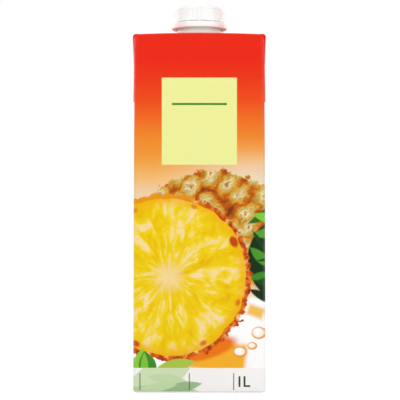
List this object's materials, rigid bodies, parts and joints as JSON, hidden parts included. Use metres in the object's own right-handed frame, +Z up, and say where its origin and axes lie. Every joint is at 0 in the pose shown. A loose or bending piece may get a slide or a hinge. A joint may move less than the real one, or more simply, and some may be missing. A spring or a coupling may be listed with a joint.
{
  "type": "juice carton",
  "caption": "Filled and shut one-litre juice carton: a slim folded brick pack of printed coated board with folded ears, a bonded spout, a tamper band and a white screw cap.",
  "frame": {"origin": "on the floor, under the middle of the pack", "axes": "+Z up, the front panel faces -Y, the side panel at the viewer's right hand faces +X"},
  "size_m": [0.076, 0.0742, 0.214],
  "materials": {
    "printed_board": "glossy film over print",
    "spout_plastic": "satin, natural white",
    "cap_plastic": "satin, white"
  },
  "bodies": {
    "root": {"carton": "printed_board", "spout": "spout_plastic", "tamper_band": "cap_plastic", "cap": "cap_plastic"}
  },
  "joints": []
}
